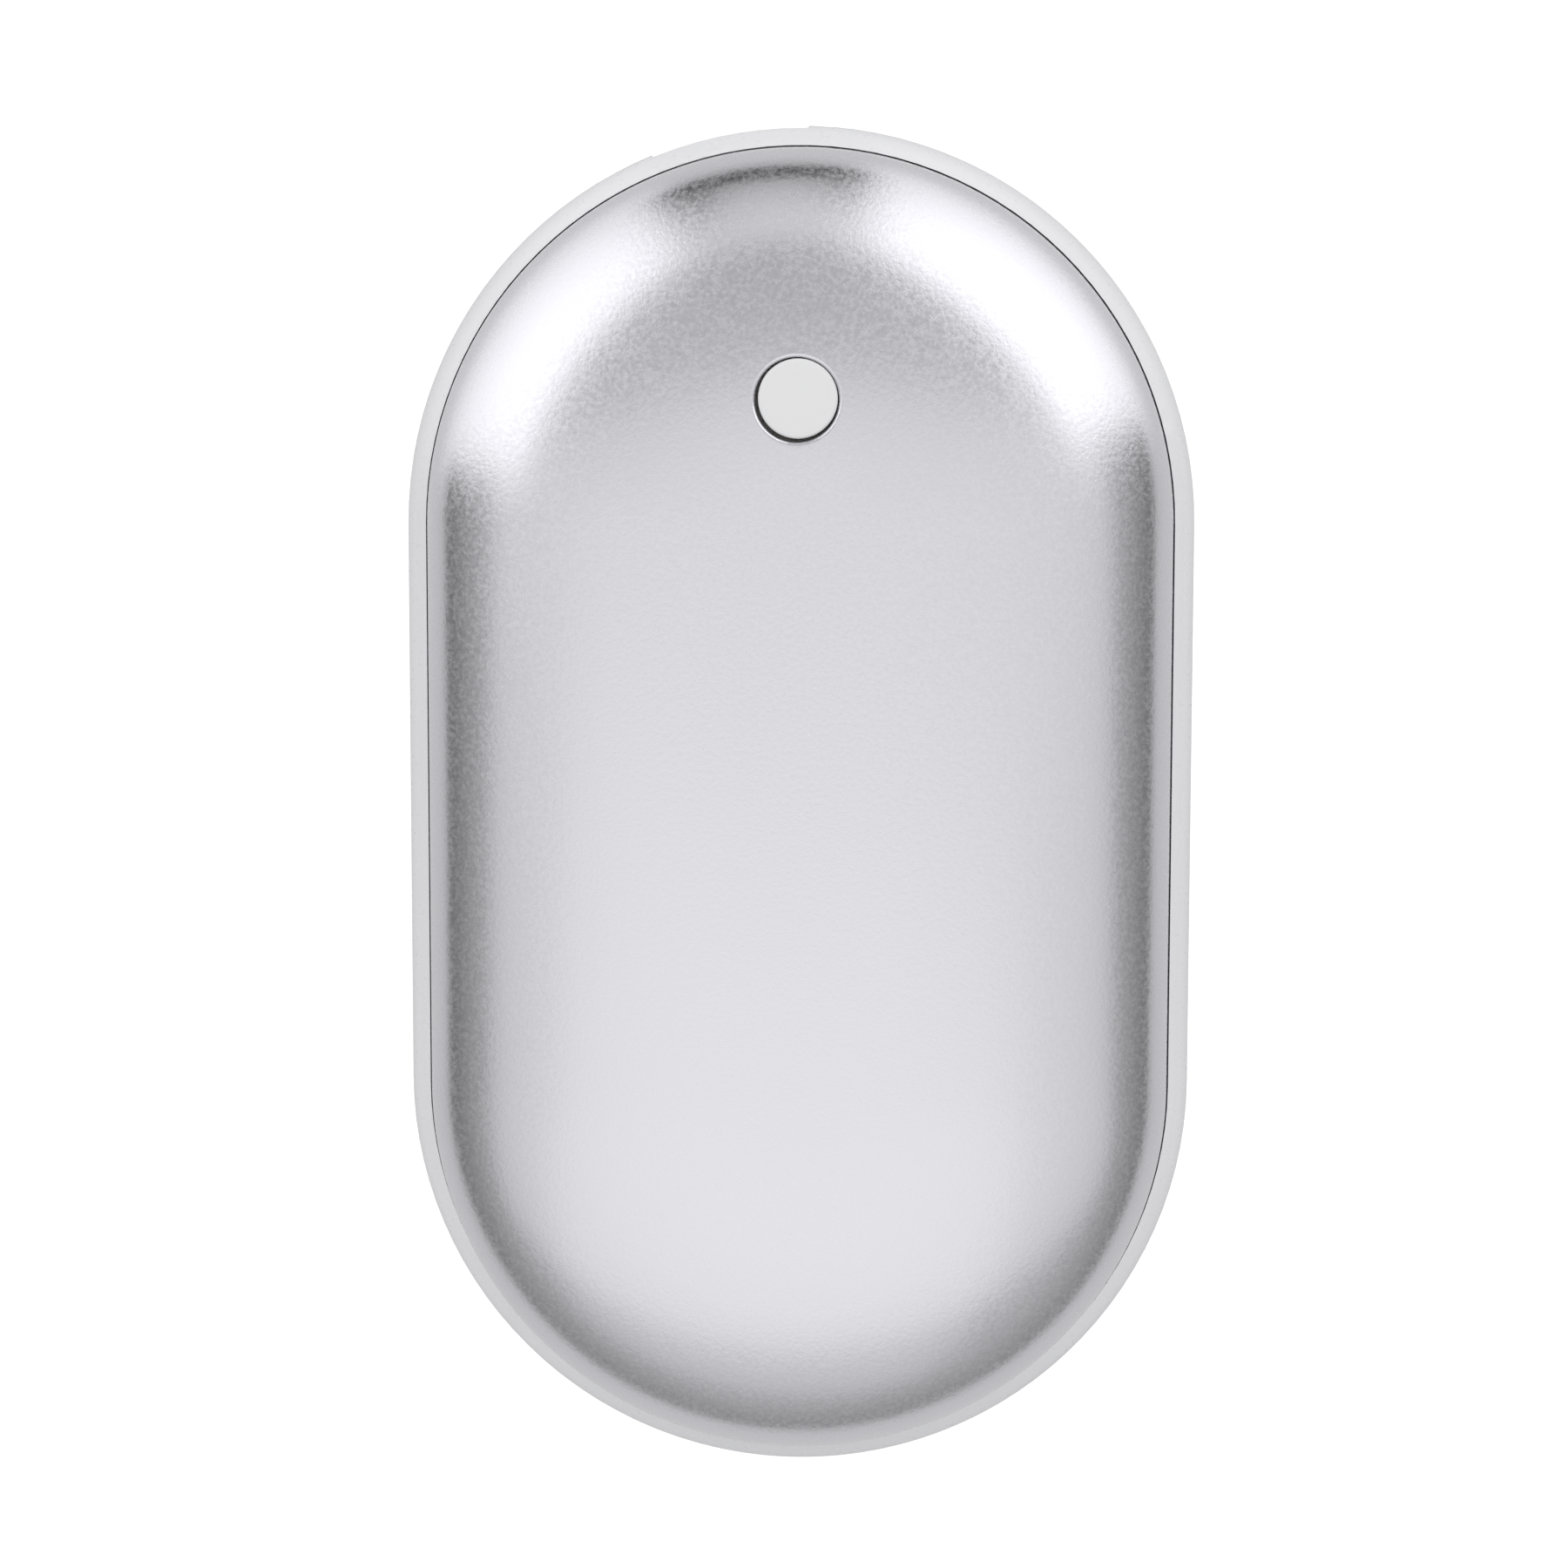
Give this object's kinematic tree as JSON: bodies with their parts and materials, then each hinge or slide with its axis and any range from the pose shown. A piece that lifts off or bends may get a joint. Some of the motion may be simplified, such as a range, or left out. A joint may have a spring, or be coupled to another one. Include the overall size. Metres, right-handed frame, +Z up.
{
  "type": "rechargeable hand warmer",
  "caption": "Pebble-shaped electric hand warmer: two domed aluminium heating shells clamped round a plastic middle band, with a press button and sockets in one end.",
  "frame": {"origin": "middle of the footprint, on the surface that the hand warmer lies on, rear shell down", "axes": "+Z up out of the front shell, where the button is; +Y to the end with the sockets; +X across, to the right when seen from the front with the button at the top"},
  "size_m": [0.063, 0.108, 0.0271],
  "materials": {
    "shell": "bead blasted and anodised natural silver",
    "band": "moulded, satin gloss, silver white",
    "liner": "moulded, natural",
    "tape": "thermal adhesive",
    "film": "amber polyimide",
    "copper": "etched metal",
    "foam": "closed cell foam",
    "button": "moulded, satin, silver white",
    "black_plastic": "moulded",
    "plated_steel": "nickel plated",
    "board": "solder mask over glass fibre laminate",
    "white_plastic": "moulded",
    "gold": "gold flash",
    "clear_plastic": "translucent, polished ends",
    "light": "translucent resin",
    "ceramic": "fired, tinned ends",
    "sleeve": "shrunk film",
    "red_wire": "silicone insulation",
    "black_wire": "silicone insulation",
    "white_wire": "silicone insulation",
    "black_steel": "black zinc"
  },
  "bodies": {
    "housing": {"front_shell": "shell", "rear_shell": "shell", "middle_band": "band", "front_liner": "liner", "rear_liner": "liner", "front_bond_tape": "tape", "rear_bond_tape": "tape", "front_heater_film": "film", "rear_heater_film": "film", "front_heater_track": "copper", "rear_heater_track": "copper", "front_foam": "foam", "rear_foam": "foam", "switch_body": "black_plastic", "switch_cover": "plated_steel", "switch_dome": "plated_steel", "main_board": "board", "output_socket_shell": "plated_steel", "output_socket_insulator": "white_plastic", "output_socket_contacts": "gold", "charging_socket_shell": "plated_steel", "charging_socket_insulator": "black_plastic", "charging_socket_contacts": "gold", "indicator_leds": "light", "light_pipe": "clear_plastic", "control_chip": "black_plastic", "power_transistors": "black_plastic", "boost_inductor": "copper", "chip_capacitors": "ceramic", "chip_resistors": "black_plastic", "left_cell_can": "plated_steel", "right_cell_can": "plated_steel", "left_cell_seal": "white_plastic", "right_cell_seal": "white_plastic", "left_cell_cap": "plated_steel", "right_cell_cap": "plated_steel", "left_cell_sleeve": "sleeve", "right_cell_sleeve": "sleeve", "positive_strip": "plated_steel", "negative_strip": "plated_steel", "positive_lead": "red_wire", "negative_lead": "black_wire", "front_heater_leads": "white_wire", "rear_heater_leads": "white_wire", "thermistor": "black_plastic", "case_screws": "black_steel", "board_screws": "black_steel"},
    "button": {"button_cap": "button"},
    "plunger": {"switch_plunger": "black_plastic"}
  },
  "joints": [
    {"name": "button_press", "type": "slide", "parent": "housing", "child": "button", "axis": [0, 0, -1], "range_m": [0, 0.0003], "stiffness_N_per_m": 2000, "springref_m": -0.0008},
    {"name": "switch_press", "type": "slide", "parent": "housing", "child": "plunger", "axis": [0, 0, -1], "range_m": [0, 0.0003], "deforming": ["switch_dome"]}
  ],
  "couplings": [
    {"joint": "switch_press", "follows": "button_press", "ratio": 1}
  ]
}
